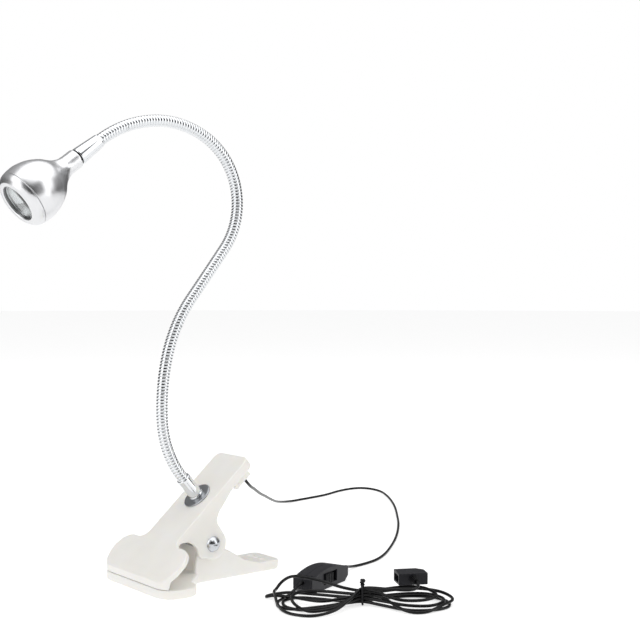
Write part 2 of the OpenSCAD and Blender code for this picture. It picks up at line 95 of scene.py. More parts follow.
def startMaterial(name, settings):
    # a material with its shader, and the socket that gives Object coordinates
    material = bpy.data.materials.new(name)
    material.use_nodes = True
    tree = material.node_tree
    tree.nodes.clear()
    shader = addNode(tree, "ShaderNodeBsdfPrincipled", settings)
    addNode(tree, "ShaderNodeOutputMaterial", {}, {"Surface": shader.outputs[0]})
    place = addNode(tree, "ShaderNodeTexCoord")
    return material, tree, shader, place.outputs["Object"]


def throughPoints(points, steps):
    # a smooth curve through given points
    points = [Vector(p) for p in points]
    made = []
    for i in range(len(points) - 1):
        a, b = points[max(i - 1, 0)], points[i]
        c, d = points[i + 1], points[min(i + 2, len(points) - 1)]
        for k in range(steps):
            t = k / steps
            made.append(0.5 * (2 * b + (c - a) * t + (2 * a - 5 * b + 4 * c - d) * t * t
                               + (3 * b - a - 3 * c + d) * t ** 3))
    return made + [points[-1]]


def lengthOf(points):
    return sum((b - a).length for a, b in zip(points, points[1:]))


def makePiece(bm, name, material, smoothDeg=35):
    # a finished bmesh as an object at the origin, smooth but for its creases
    mesh = bpy.data.meshes.new(name)
    for edge in bm.edges:
        edge.smooth = len(edge.link_faces) != 2 or edge.calc_face_angle(0) < math.radians(smoothDeg)
    for face in bm.faces:
        face.smooth = True
    bm.to_mesh(mesh)
    bm.free()
    piece = bpy.data.objects.new(name, mesh)
    scene.collection.objects.link(piece)
    mesh.materials.append(material)
    return piece


def settle(piece, body, slotName, *replaced):
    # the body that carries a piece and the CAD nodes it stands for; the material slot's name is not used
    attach(piece, body)
    if replaced:
        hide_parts(*replaced)
    return piece


def placed(bm, matrix):
    bmesh.ops.transform(bm, matrix=matrix, verts=bm.verts)
    bmesh.ops.recalc_face_normals(bm, faces=bm.faces)
    return bm


def spinProfile(profile, sides=96, closed=False):
    # an outline of (radius, height) in millimetres spun round Z
    bm = bmesh.new()
    verts = [bm.verts.new((r * mm, 0, z * mm)) for r, z in profile]
    edges = [bm.edges.new(pair) for pair in zip(verts, verts[1:])]
    if closed:
        edges.append(bm.edges.new((verts[-1], verts[0])))
    bmesh.ops.spin(bm, geom=verts + edges, cent=(0, 0, 0), axis=(0, 0, 1), dvec=(0, 0, 0),
                   angle=2 * math.pi, steps=sides, use_merge=True)
    bmesh.ops.remove_doubles(bm, verts=bm.verts, dist=1e-6)
    bmesh.ops.recalc_face_normals(bm, faces=bm.faces)
    return bm


def turnedRing(corners, soft, sides, matrix, steps=3):
    # a ring turned from its closed outline, each corner softened by a short curve
    made = []
    for i, corner in enumerate(corners):
        here = Vector(corner)
        before = Vector(corners[i - 1]) - here
        after = Vector(corners[(i + 1) % len(corners)]) - here
        cut = min(soft, before.length * 0.45, after.length * 0.45)
        start, end = here + before.normalized() * cut, here + after.normalized() * cut
        for k in range(steps + 1):
            t = k / steps
            made.append(tuple((1 - t) ** 2 * start + 2 * t * (1 - t) * here + t * t * end))
    return placed(spinProfile(made, sides, True), matrix)


def solidify(piece, thickness):
    wall = piece.modifiers.new("wall", "SOLIDIFY")
    wall.thickness = thickness
    wall.offset = -1
    return piece


def tubeAlong(points, radius, name, material, sides=12):
    # a round tube along a route, as a closed mesh
    curve = bpy.data.curves.new(name, "CURVE")
    curve.dimensions = "3D"
    curve.bevel_depth = radius
    curve.bevel_resolution = sides // 4 - 1
    curve.use_fill_caps = True
    spline = curve.splines.new("POLY")
    spline.points.add(len(points) - 1)
    for point, place in zip(spline.points, points):
        point.co = (*place, 1)
    carrier = bpy.data.objects.new(name + "Line", curve)
    mesh = bpy.data.meshes.new_from_object(carrier)
    bpy.data.objects.remove(carrier)
    bpy.data.curves.remove(curve)
    bm = bmesh.new()
    bm.from_mesh(mesh)
    bpy.data.meshes.remove(mesh)
    bmesh.ops.remove_doubles(bm, verts=bm.verts, dist=1e-7)
    bmesh.ops.recalc_face_normals(bm, faces=bm.faces)
    return makePiece(bm, name, material, 50)


mouldingValues = {
    "weld": 2e-6,
    "skin": 0.5 * mm,       # grain of the even skin
    "relax": 0.5,
    "relaxSteps": 6,
    "flatDeg": 0.6,         # flatter than this is one face
    "edgeDeg": 32,          # sharper than this is an edge to round
    "segments": 3,
}


def weldedCopy(node):
    # the CAD node's own shape, its loose triangles welded
    bm = bmesh.new()
    bm.from_mesh(nodes[node].data)
    bmesh.ops.remove_doubles(bm, verts=bm.verts, dist=mouldingValues["weld"])
    return bm


def softCopy(node, name, material):
    # remade in an even skin and relaxed into the round edges and soft corners of a moulding
    piece = makePiece(weldedCopy(node), name, material)
    skin = piece.modifiers.new("skin", "REMESH")
    skin.mode = "VOXEL"
    skin.voxel_size = mouldingValues["skin"]
    skin.use_smooth_shade = True
    relax = piece.modifiers.new("relax", "SMOOTH")
    relax.factor = mouldingValues["relax"]
    relax.iterations = mouldingValues["relaxSteps"]
    return piece


def mouldedCopy(node, name, edge, material):
    # with the small round edges of a moulding
    bm = weldedCopy(node)
    bmesh.ops.dissolve_limit(bm, angle_limit=math.radians(mouldingValues["flatDeg"]),
                             verts=bm.verts, edges=bm.edges,
                             use_dissolve_boundaries=False, delimit=set())
    piece = makePiece(bm, name, material, 30)
    bevel = piece.modifiers.new("edges", "BEVEL")
    bevel.width = edge
    bevel.segments = mouldingValues["segments"]
    bevel.limit_method = "ANGLE"
    bevel.angle_limit = math.radians(mouldingValues["edgeDeg"])
    bevel.use_clamp_overlap = True
    bevel.harden_normals = True
    return piece


def addGrain(tree, shader, place, noise, sheen, relief, tints=None):
    # one noise over a surface drives its sheen, its relief and, where two are given, its tint
    grain = addNode(tree, "ShaderNodeTexNoise", noise, {"Vector": place})
    gloss = addNode(tree, "ShaderNodeMapRange", {"To Min": sheen[0], "To Max": sheen[1]},
                    {"Value": grain.outputs["Fac"]})
    tree.links.new(gloss.outputs["Result"], shader.inputs["Roughness"])
    bump = addNode(tree, "ShaderNodeBump", {"Strength": relief[0], "Distance": relief[1] * mm},
                   {"Height": grain.outputs["Fac"]})
    tree.links.new(bump.outputs["Normal"], shader.inputs["Normal"])
    if tints:
        tint = addNode(tree, "ShaderNodeMix", {"data_type": "RGBA", 6: tints[0], 7: tints[1]},
                       {0: grain.outputs["Fac"]})
        tree.links.new(tint.outputs[2], shader.inputs["Base Color"])


def mouldedPlastic():
    # moulded ABS in cream white: a satin skin, light sinking a little way in, with a
    # spark-eroded grain drawn twice as coarse as it is, and a faint yellowing in patches
    grainMm, coarser, patchMm = 0.4, 2, 26.3
    material, tree, shader, place = startMaterial("moulded ABS cream", {
        "IOR": 1.52, "Subsurface Weight": 0.3, "Subsurface Radius": (1.0, 0.82, 0.5),
        "Subsurface Scale": 0.003})
    patches = addNode(tree, "ShaderNodeTexNoise",
                      {"Scale": 1 / (patchMm * mm), "Detail": 3, "Roughness": 0.5}, {"Vector": place})
    tone = addNode(tree, "ShaderNodeValToRGB", {}, {"Fac": patches.outputs["Fac"]})
    for stop, position, colour in zip(tone.color_ramp.elements, (0.32, 0.68), ("#EFEDE8", "#F4F2EE")):
        stop.position = position
        stop.color = linear(colour)
    tree.links.new(tone.outputs["Color"], shader.inputs["Base Color"])
    addGrain(tree, shader, place,
             {"Scale": 1 / (grainMm * coarser * mm), "Detail": 2, "Roughness": 0.6},
             (0.36, 0.48), (0.35, 0.05))
    return material


def platedMetal(name, colour, sheen, marksMm, reliefMm):
    # plated or rolled metal: a mirror broken by wiping marks, which are drawn about a
    # millimetre wide so that they show
    material, tree, shader, place = startMaterial(name, {"Metallic": 1})
    dark = [c * 0.93 for c in linear(colour)[:3]] + [1]
    addGrain(tree, shader, place, {"Scale": 1 / (marksMm * mm), "Detail": 4, "Roughness": 0.6},
             sheen, (0.3, reliefMm), (dark, linear(colour)))
    return material


def spunAluminium(axisMatrix):
    # lathe-spun aluminium, satin anodised: tool rings round the head's axis, drawn coarse
    # enough to show, over a soft sheen
    ringMm, coarser, aroundShare = 0.25, 2.67, 0.04
    material, tree, shader, place = startMaterial("spun aluminium satin", {
        "Metallic": 1, "Anisotropic": 0.35})
    turned = addNode(tree, "ShaderNodeMapping", {
        "vector_type": "TEXTURE", "Location": axisMatrix.to_translation(),
        "Rotation": axisMatrix.to_euler()}, {"Vector": place})
    split = addNode(tree, "ShaderNodeSeparateXYZ", {}, {"Vector": turned.outputs[0]})
    around = addNode(tree, "ShaderNodeMath", {"operation": "MULTIPLY", 1: aroundShare},
                     {0: split.outputs["X"]})
    lines = addNode(tree, "ShaderNodeCombineXYZ", {},
                    {"X": around.outputs[0], "Z": split.outputs["Z"]})
    addGrain(tree, shader, lines.outputs[0],
             {"Scale": 1 / (ringMm * coarser * mm), "Detail": 2, "Roughness": 0.6},
             (0.26, 0.31), (0.06, 0.01), (linear("#DCDDDF"), linear("#E1E1E2")))
    return material


def grainedPlastic(name, low, high, rough, grainMm, reliefMm):
    # a moulded or extruded plastic, or a coat like it: a satin skin with little gloss of its
    # own, so black stays black, and a grain that scatters the light
    material, tree, shader, place = startMaterial(name, {"IOR": 1.53, "Specular IOR Level": 0.22})
    addGrain(tree, shader, place, {"Scale": 1 / (grainMm * mm), "Detail": 3, "Roughness": 0.6},
             (rough * 0.8, rough * 1.2), (0.4, reliefMm), (linear(low), linear(high)))
    return material


def clearLens():
    # injection-moulded polycarbonate: clear and glossy, with the faintest flow ripple
    rippleMm = 5.6
    material, tree, shader, place = startMaterial("clear polycarbonate", {
        "Transmission Weight": 1, "IOR": 1.58, "Roughness": 0.03, "Base Color": linear("#F4F7F7")})
    flow = addNode(tree, "ShaderNodeTexNoise", {"Scale": 1 / (rippleMm * mm), "Detail": 2},
                   {"Vector": place})
    bump = addNode(tree, "ShaderNodeBump", {"Strength": 0.15, "Distance": 0.08 * mm},
                   {"Height": flow.outputs["Fac"]})
    tree.links.new(bump.outputs["Normal"], shader.inputs["Normal"])
    return material


neckValues = {
    "turns": (-38, -17, -25, 1, 49, 50, 36, 30),    # degrees, left turns positive
    "step": 39 * mm,
    "footHeading": 131,
    "radius": 3.5 * mm,
    "pitch": 1.9 * mm,      # of the winding
    "groove": 0.42 * mm,
    # one rib's outline, as shares of the pitch along it and of the groove's depth
    "rib": [(0, 1), (0.06, 0.5), (0.17, 0.12), (0.34, 0), (0.66, 0), (0.83, 0.12), (0.94, 0.5),
            (1, 1)],
    "around": 24,           # sides of the winding
    "wall": 0.9 * mm,
    "wireRadius": 1.1 * mm,
    "wireRings": 140,
    "inFerrule": 4 * mm,
    "inCollar": 1.5 * mm,
    "bodies": ["upper_clip", "neck_2", "neck_3", "neck_4", "neck_5", "neck_6", "neck_7", "head"],
}


def arcAlong(heading, turn, length, whole):
    # the way and the heading gained by going that length along an arc that turns that far
    # over its whole
    part = turn * length / whole
    radius = whole / math.radians(abs(turn))
    chord = 2 * radius * math.sin(math.radians(abs(part)) / 2)
    along = math.radians(heading + part / 2)
    return Vector((chord * math.cos(along), 0, chord * math.sin(along))), heading + part


def neckStretches():
    # the start and heading of each stretch, and the head's; the first hinge fixes them
    step, heading = neckValues["step"], neckValues["footHeading"]
    first, _ = arcAlong(heading, neckValues["turns"][0], step, step)
    place = Vector(joints["neck_bend_1"]["pos_m"]) - first
    made = []
    for turn in neckValues["turns"]:
        made.append((place, heading))
        move, heading = arcAlong(heading, turn, step, step)
        place = place + move
    return made + [(place, heading)]


stretches = neckStretches()


def neckAt(s):
    # the point and heading at that length along the neck, straight on past both ends
    step, count = neckValues["step"], len(neckValues["turns"])
    inside = min(max(s, 0), count * step)
    i = min(int(inside // step), count - 1)
    place, heading = stretches[i]
    move, heading = arcAlong(heading, neckValues["turns"][i], inside - i * step, step)
    ahead = Vector((math.cos(math.radians(heading)), 0, math.sin(math.radians(heading))))
    return place + move + ahead * (s - inside), heading


headPlace, headHeading = stretches[-1]
headMatrix = Matrix.Translation(headPlace) @ Matrix.Rotation(math.radians(90 - headHeading), 4, "Y")

creamAbs = mouldedPlastic()
# hard bright plating on the hose and its two fittings
chrome = platedMetal("chrome plate", "#E2E4E6", sheen=(0.05, 0.12), marksMm=1.11, reliefMm=0.01)
# a softer, greyer mirror on the pin, the spring and the screws
zincSteel = platedMetal("bright zinc on steel", "#C9CCD0", sheen=(0.16, 0.28), marksMm=0.714,
                        reliefMm=0.02)
# grey and half dull from the barrel
dullZinc = platedMetal("tumbled zinc washer", "#A5A8AB", sheen=(0.28, 0.42), marksMm=0.625,
                       reliefMm=0.04)
# dull, from the tool
turnedAluminium = platedMetal("turned aluminium", "#B9BBBE", sheen=(0.3, 0.42), marksMm=0.833,
                              reliefMm=0.03)
# warm yellow, half dull
contactBrass = platedMetal("stamped brass", "#C8A058", sheen=(0.22, 0.36), marksMm=1,
                           reliefMm=0.02)
# a slightly soft mirror on plastic
mirrorCoat = platedMetal("metallised reflector", "#D9DADB", sheen=(0.1, 0.2), marksMm=1.667,
                         reliefMm=0.03)
satinAluminium = spunAluminium(headMatrix)
# the lead's smooth skin, near black
blackPvc = grainedPlastic("extruded PVC black", "#060607", "#0E0E10", rough=0.33, grainMm=0.7,
                          reliefMm=0.02)
# the switch and the plug, a shade lighter for their grain
blackAbs = grainedPlastic("moulded ABS black", "#17171B", "#232328", rough=0.4, grainMm=0.5,
                          reliefMm=0.05)
dullNylon = grainedPlastic("dull black nylon", "#0E0E10", "#1A1A1D", rough=0.55, grainMm=0.6,
                           reliefMm=0.03)
redPvc = grainedPlastic("red wire covering", "#7A1D18", "#9A2A22", rough=0.4, grainMm=0.8,
                        reliefMm=0.02)
boardMask = grainedPlastic("white solder mask", "#DAD9D2", "#E8E7E1", rough=0.4, grainMm=0.6,
                           reliefMm=0.01)
phosphor = grainedPlastic("yellow phosphor", "#D9B23C", "#EBC95A", rough=0.3, grainMm=0.3,
                          reliefMm=0.01)
clearPlastic = clearLens()
print("materials made")

cordValues = {
    "radius": 0.9 * mm,
    "diameter": 1.8 * mm,
    "clear": 0.02 * mm,     # above the table
    "smooth": 8,
    "leadRoute": [      # from the gland, down to the table, back to the switch; millimetres
        (29.3, -7, 58.5), (31.9, -7, 55.5), (39, -1, 51.5), (52, 13, 46.6), (73, 36, 38.5),
        (98, 64, 30), (124, 93, 21), (148, 119, 13), (171, 143, 6.4), (189, 158, 2.4),
        (203, 164, 0.95), (219, 166, 0.95), (238, 169, 0.95), (262, 177, 0.95), (280, 177.8, 0.95),
        (287.5, 169, 0.95), (286, 153, 0.95), (277, 135, 0.95), (262, 112, 0.95), (244, 88, 0.95),
        (224, 64, 0.95), (205, 42, 0.95), (184, 20, 0.95), (164, 1, 0.95), (144, -16, 0.95),
        (127, -29, 0.95), (113, -37, 0.95), (101, -40.5, 0.95), (90, -42.5, 1.2),
        (81, -46.5, 2.8), (74, -52, 5), (68, -55.6, 6), (63.3, -57.3, 6)],
    "leadFree": (98, 64, 30),       # up to here the lead follows the handle
    "tailRoute": [      # from the switch to the hank
        (26.7, -70.7, 6), (22.5, -72.2, 6), (17.5, -73.6, 3.8), (12.5, -74.4, 1.6),
        (8.2, -75.6, 0.95)],
    "plugRoute": [      # from the hank's tie to the plug
        (42.5, -126, 10.6), (48.5, -132.4, 10.4), (54, -134.6, 10.4), (58.5, -133.2, 11.2),
        (61.4, -129.5, 11.95), (63.2, -126.1, 11.95)],
}
hankValues = {
    "place": (36, -112),
    "turnDeg": -37,
    "bundleZ": 2.1,         # the lowest strand at the tie
    "layer": 1.86,          # each strand lies on the one below
    "halfBundle": 0.95,
    # all below as (along, across, up): the way in from the tail
    "wayIn": [(-47.4, 4, 0.95), (-46.6, -6, 0.95), (-38, -11, 0.95), (-24, -7, 1), (-10, -2.2, 1.6)],
    # left-hand loops from the tie's far side round to its near side
    "leftLoops": [
        [(-10, 3, 1.4), (-24, 10, 1), (-36, 13, 1), (-44, 6, 1), (-43, -6, 1), (-34, -13, 1),
         (-20, -9, 1.1), (-9, -3.4, 2.4)],
        [(-11, 4.4, 3.6), (-26, 12.6, 2.9), (-41, 17.6, 2.8), (-51, 19.4, 1.2), (-54, 16.2, 1),
         (-49, 12.6, 2.4), (-38, 6, 2.9), (-24, -2.4, 2.9), (-11, -2.4, 4.4)],
        [(-10, 5.2, 5.4), (-22, 12, 4.8), (-33, 12.6, 4.7), (-39.5, 3, 4.6), (-38, -9, 3),
         (-30, -17.6, 1.4), (-17, -14.4, 2.2), (-8, -5.6, 4.6)],
        [(-9.3, 8.4, 7.4), (-17.6, 14.8, 8.4), (-26, 18.6, 10), (-34.4, 21.6, 11),
         (-40.3, 27.4, 9.4), (-45, 31.5, 5.6), (-48.4, 27.6, 2.4), (-49.6, 19.6, 3),
         (-49, 10, 3), (-47.6, -2, 1.4), (-44.5, -14, 1), (-38.4, -22, 1), (-28, -24.8, 1),
         (-16.6, -19, 2.2), (-7.4, -8.4, 5.6)]],
    # right-hand loops from the near side round to the far side
    "rightLoops": [
        [(10, -6, 1.4), (24, -15.4, 1), (38, -15.4, 1), (47, -8.6, 1), (47.6, 2.6, 1),
         (40, 11.6, 1), (27, 14.4, 1), (11, 7, 1.5)],
        [(10, -4.6, 3.4), (23, -12, 2.8), (36, -12.8, 2.6), (44.4, -5.4, 2.8), (44.6, 4.4, 2.8),
         (37, 12, 2.9), (25, 12.4, 2.9), (10, 5.2, 3.6)],
        [(10, -3.6, 5.2), (22, -18.4, 1.6), (33, -19.6, 1), (43, -11.8, 2.6), (50.4, -1, 3.2),
         (44.6, 11.8, 4.2), (30, 16.8, 4.8), (11, 7.6, 5.6)],
        [(9, -2.2, 7), (20, -7.8, 4.7), (32, -8.4, 4.5), (40.6, -2.4, 4.8), (40.6, 6, 5.4),
         (34, 12.2, 6.6), (23, 11.4, 7), (9, 4, 7.4)]],
}


def onHank(u, v, z):
    # along the hank, across it and up, as a place on the table
    turn = math.radians(hankValues["turnDeg"])
    x, y = hankValues["place"]
    return (x + u * math.cos(turn) - v * math.sin(turn),
            y + u * math.sin(turn) + v * math.cos(turn), z)


def hankRoute():
    # tail, then turn after turn through the tie, each a layer higher, then out to the plug
    side, layer, low = (hankValues[k] for k in ("halfBundle", "layer", "bundleZ"))
    route = list(cordValues["tailRoute"]) + [onHank(*p) for p in hankValues["wayIn"]]
    turns = list(zip(hankValues["rightLoops"], hankValues["leftLoops"]))
    for level, (right, left) in enumerate(turns):
        z = low + level * layer
        route.append(onHank(0, -side, z))
        route += [onHank(*p) for p in right]
        route.append(onHank(0, side, z))
        route += [onHank(*p) for p in left]
    route.append(onHank(0, -side, low + len(turns) * layer))
    return route + list(cordValues["plugRoute"])


def cordPiece(name, route):
    points = throughPoints([Vector(p) * mm for p in route], cordValues["smooth"])
    for point in points:    # nothing sinks into the table
        point.z = max(point.z, cordValues["radius"] + cordValues["clear"])
    return tubeAlong(points, cordValues["radius"], name, blackPvc), points


lead, leadPoints = cordPiece("leadCord", cordValues["leadRoute"])
hank, hankPoints = cordPiece("hankCord", hankRoute())
print("cords laid: lead %.3f m, second %.3f m" % (lengthOf(leadPoints), lengthOf(hankPoints)))

tieValues = {"radius": 0.62, "halfWidth": 2.7, "low": 0.68, "high": 11.2, "twist": 1.3,
             "rise": 2.4, "twistSteps": 14, "smooth": 5}


def tiePiece():
    # a covered wire wound once round the strands, its ends twisted together on top
    w, low, high = (tieValues[k] for k in ("halfWidth", "low", "high"))
    route = [(0.6, 0, high + 0.2), (0.5, w * 0.6, high), (0.4, w, high - 1.6), (0.2, w, low + 2),
             (0, w * 0.7, low + 0.2), (-0.1, 0, low), (-0.2, -w * 0.7, low + 0.2),
             (-0.4, -w, low + 2), (-0.5, -w, high - 1.6), (-0.6, -w * 0.6, high),
             (-0.7, 0, high + 0.3)]
    for k in range(1, tieValues["twistSteps"] + 1):
        a = k * math.pi / 2.4
        wide = tieValues["twist"] * (1 - k / 22)
        up = tieValues["rise"] * math.sin(math.pi * k / 17)
        route.append((wide * math.cos(a), wide * math.sin(a), high + 0.5 + up))
    points = throughPoints([Vector(onHank(*p)) * mm for p in route], tieValues["smooth"])
    return tubeAlong(points, tieValues["radius"] * mm, "cordTie", dullNylon)


tie = settle(tiePiece(), "lower_clip", "cord_black", "cord_tie")

switchValues = {"edge": 0.7 * mm, "thumbEdge": 0.2 * mm}
switchBack = settle(mouldedCopy("switch_base", "switchBack", switchValues["edge"], blackAbs),
                    "lower_clip", "switch_plastic", "switch_base")
switchFront = settle(mouldedCopy("switch_cover", "switchFront", switchValues["edge"], blackAbs),
                     "lower_clip", "switch_plastic", "switch_cover")
switchThumb = settle(mouldedCopy("switch_slider", "switchThumb", switchValues["thumbEdge"], dullNylon),
                     "slider", "switch_plastic", "switch_slider")

plugValues = {"place": (68, -117, 8.55), "turnDeg": -28, "width": 12.5, "height": 6.8,
              "edge": 0.5 * mm}
reliefValues = {
    "length": 7,
    "wide": 2.4,
    "tip": 1.55,
    "bore": 0.92,
    "rings": 4,
    "margin": 0.2,
    "groove": 0.42,
    # a ring's outline, as shares of its length and of the groove's depth
    "ring": [(0, 0), (0.62, 0), (0.74, 1), (0.92, 1)],
}
plugBody = settle(mouldedCopy("plug_housing", "plugBody", plugValues["edge"], blackAbs),
                  "lower_clip", "switch_plastic", "plug_housing")


def reliefPiece():
    # a ringed cone that keeps the lead from kinking where it leaves the plug
    long, wide, tip, bore, rings, margin = (
        reliefValues[k] for k in ("length", "wide", "tip", "bore", "rings", "margin"))
    pitch = (long - 2 * margin) / rings
    outline = [(bore, 0), (wide, 0)]
    for k in range(rings):
        r, z = wide + (tip - wide) * k / rings, margin + pitch * k
        outline += [(r - reliefValues["groove"] * deep, z + pitch * share)
                    for share, deep in reliefValues["ring"]]
    outline += [(tip, long), (bore, long)]
    x, y, z = plugValues["place"]
    middle = Vector((x, y, z + plugValues["height"] / 2)) * mm
    turn = (Matrix.Translation(middle) @ Matrix.Rotation(math.radians(plugValues["turnDeg"]), 4, "Z")
            @ Matrix.Translation((0, -plugValues["width"] / 2 * mm, 0))
            @ Matrix.Rotation(math.radians(90), 4, "X"))
    return makePiece(placed(spinProfile(outline, 32, True), turn), "plugRelief", blackPvc)


relief = settle(reliefPiece(), "lower_clip", "cord_black", "plug_relief")

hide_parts("lead_cord")
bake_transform(lead)
settle(hank, "lower_clip", "cord_black", "switch_tail_cord", "cord_hank", "plug_cord")
print("lead, switch, hank and plug made")

clipValues = {"glandEdge": 0.6 * mm}
settle(softCopy("upper_lever", "upperLever", creamAbs), "upper_clip", "clip_plastic", "upper_lever")
settle(softCopy("lower_lever", "lowerLever", creamAbs), "lower_clip", "clip_plastic", "lower_lever")
settle(mouldedCopy("cord_gland", "cordGland", clipValues["glandEdge"], creamAbs),
       "upper_clip", "clip_plastic", "cord_gland")
print("clip made")

pinValues = {
    "height": 23,
    "radius": 2,
    "headRadius": 4.75,
    "dome": 3,
    "domeSteps": 14,
    "halfLength": 16.75,    # to the cheeks' outer faces
    "clear": 0.02,
    "tail": 19,
    "capBore": 2.02,
    "capThick": 1.2,
    "capFlat": 3,           # radius of the cap's raised middle
}


def acrossPin(along, quarter):
    # from a spin's own axis to the pin's, which lies along Y
    return (Matrix.Translation((0, along * mm, pinValues["height"] * mm))
            @ Matrix.Rotation(math.radians(quarter), 4, "X"))


def pinPiece():
    radius, wide, dome = (pinValues[k] for k in ("radius", "headRadius", "dome"))
    ball = (wide * wide + dome * dome) / (2 * dome)
    start = pinValues["halfLength"] + pinValues["clear"]
    profile = [(0, start + dome)]
    for k in range(1, pinValues["domeSteps"] + 1):
        a = math.asin(wide / ball) * k / pinValues["domeSteps"]
        profile.append((ball * math.sin(a), start + dome - ball + ball * math.cos(a)))
    profile += [(wide - 0.1, start), (radius, start), (radius, -pinValues["tail"]),
                (radius - 0.4, 0.05 - pinValues["tail"]), (0, 0.05 - pinValues["tail"])]
    return makePiece(placed(spinProfile(profile, 64), acrossPin(0, 90)), "pivotPin", zincSteel)


def pinCapPiece():
    # a dished push-on cap on the pin's far end
    wide, thick, bore = (pinValues[k] for k in ("headRadius", "capThick", "capBore"))
    corners = [(bore, 0), (wide, 0), (wide - 0.4, thick * 0.7), (pinValues["capFlat"], thick),
               (bore, thick)]
    place = acrossPin(pinValues["halfLength"] + pinValues["clear"], -90)
    return makePiece(turnedRing(corners, 0.25, 48, place), "pinCap", zincSteel)


settle(pinPiece(), "lower_clip", "steel", "pivot_pin")
settle(pinCapPiece(), "lower_clip", "steel", "pin_collar")

springValues = {"radius": 4.2, "wire": 0.75, "turns": 10, "half": 8.8, "lowDeg": 246,
                "highDeg": 158, "lowArm": 37.5, "highArm": 29.6, "steps": 24, "armSteps": 4}


def springPiece():
    # a coil round the pin with a straight arm along each lever
    radius, half, lowDeg, highDeg, armSteps = (
        springValues[k] for k in ("radius", "half", "lowDeg", "highDeg", "armSteps"))
    turn = 360 * springValues["turns"] + lowDeg - highDeg
    count = springValues["turns"] * springValues["steps"]

    def onCoil(share):
        a = math.radians(lowDeg - turn * share)
        return Vector((radius * math.cos(a), half * (2 * share - 1),
                       pinValues["height"] + radius * math.sin(a)))

    def ahead(degrees):
        a = math.radians(degrees)
        return Vector((math.sin(a), 0, -math.cos(a)))

    points = [onCoil(i / count) for i in range(count + 1)]
    lowEnd = points[0] - ahead(lowDeg) * springValues["lowArm"]
    highEnd = points[-1] + ahead(highDeg) * springValues["highArm"]
    points = [lowEnd + (points[0] - lowEnd) * k / armSteps for k in range(armSteps)] + points
    points += [points[-1] + (highEnd - points[-1]) * k / armSteps for k in range(1, armSteps + 1)]
    return tubeAlong([p * mm for p in points], springValues["wire"] * mm, "torsionSpring", zincSteel)


spring = springPiece()
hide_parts("torsion_spring")
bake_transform(spring)
print("pin and spring made")

footValues = {
    "jawFront": Vector((-46.5, 0, 10)) * mm,
    "slopeDeg": 41,
    "along": 60.81,         # up the plate from the jaws' front edge
    "washerRadius": 9.1,
    "washerThick": 1,
    "hole": 3.5,
    "clear": 0.03,
    "ferruleRadius": 4.3,
    "ferruleLength": 15,
    "lip": 0.25,            # round the ferrule's foot
    "hoseBore": 3.52,
    "hoseDepth": 5,
    "wireBore": 1.9,
    "stud": 3.3,
    "below": 12,
}
# the foot's own frame: X up the plate's slope, Z out of its face
footMatrix = (Matrix.Translation(footValues["jawFront"])
              @ Matrix.Rotation(-math.radians(footValues["slopeDeg"]), 4, "Y")
              @ Matrix.Translation((footValues["along"] * mm, 0, 0)))


def washerPiece():
    hole, clear, wide, thick = (footValues[k] for k in ("hole", "clear", "washerRadius", "washerThick"))
    corners = [(hole, clear), (wide, clear), (wide, thick * 0.55), (wide - 0.9, thick * 0.96),
               (hole, thick * 0.97)]
    return makePiece(turnedRing(corners, 0.25, 96, footMatrix), "footWasher", dullZinc)


def ferrulePiece():
    # a lipped sleeve over the hose's end, on a hollow stud through the plate
    wide, thick, stud, below = (footValues[k] for k in ("ferruleRadius", "washerThick", "stud", "below"))
    hose, wire, foot = footValues["hoseBore"], footValues["wireBore"], wide + footValues["lip"]
    top = thick + footValues["ferruleLength"]
    seat = top - footValues["hoseDepth"]
    corners = [(wire, -below), (stud, -below), (stud, thick), (foot, thick), (foot, thick + 0.9),
               (wide, thick + 1.3), (wide, top - 0.5), (wide - 0.35, top), (hose, top),
               (hose, seat), (wire, seat)]
    return makePiece(turnedRing(corners, 0.2, 64, footMatrix), "footFerrule", chrome)


settle(washerPiece(), "upper_clip", "washer_zinc", "base_washer")
settle(ferrulePiece(), "upper_clip", "chrome_plate", "base_ferrule")


def windHose(length):
    # one turn of rib spun round the Z axis, then doubled along it until it is long enough;
    # it starts three turns below the length that is used
    pitch, radius, groove, around = (neckValues[k] for k in ("pitch", "radius", "groove", "around"))
    bm = bmesh.new()
    low = -neckValues["inFerrule"] - 3 * pitch
    verts = [bm.verts.new((radius - groove * deep, 0, low + pitch * z)) for z, deep in neckValues["rib"]]
    edges = [bm.edges.new(pair) for pair in zip(verts, verts[1:])]
    bmesh.ops.spin(bm, geom=verts + edges, cent=(0, 0, 0), axis=(0, 0, 1), dvec=(0, 0, pitch / around),
                   angle=2 * math.pi, steps=around, use_merge=False)
    turns = 1
    while turns * pitch < length - 2 * low:
        grown = bmesh.ops.duplicate(bm, geom=bm.verts[:] + bm.edges[:] + bm.faces[:])["geom"]
        moved = [g for g in grown if isinstance(g, bmesh.types.BMVert)]
        bmesh.ops.translate(bm, vec=(0, 0, turns * pitch), verts=moved)
        turns *= 2
    bmesh.ops.remove_doubles(bm, verts=bm.verts, dist=5e-6)
    bmesh.ops.recalc_face_normals(bm, faces=bm.faces)
    return bm


def plainWire(length):
    # the two wires inside, as one round core
    bm = bmesh.new()
    low, count = -neckValues["inFerrule"], neckValues["wireRings"]
    ring = bmesh.ops.create_circle(bm, segments=12, radius=neckValues["wireRadius"])["verts"]
    bmesh.ops.translate(bm, vec=(0, 0, low), verts=ring)
    edges = bm.edges[:]
    for _ in range(count):
        grown = bmesh.ops.extrude_edge_only(bm, edges=edges)["geom"]
        ring = [g for g in grown if isinstance(g, bmesh.types.BMVert)]
        edges = [g for g in grown if isinstance(g, bmesh.types.BMEdge)
                 and all(v in ring for v in g.verts)]
        bmesh.ops.translate(bm, vec=(0, 0, (length - low) / count), verts=ring)
    bmesh.ops.recalc_face_normals(bm, faces=bm.faces)
    return bm


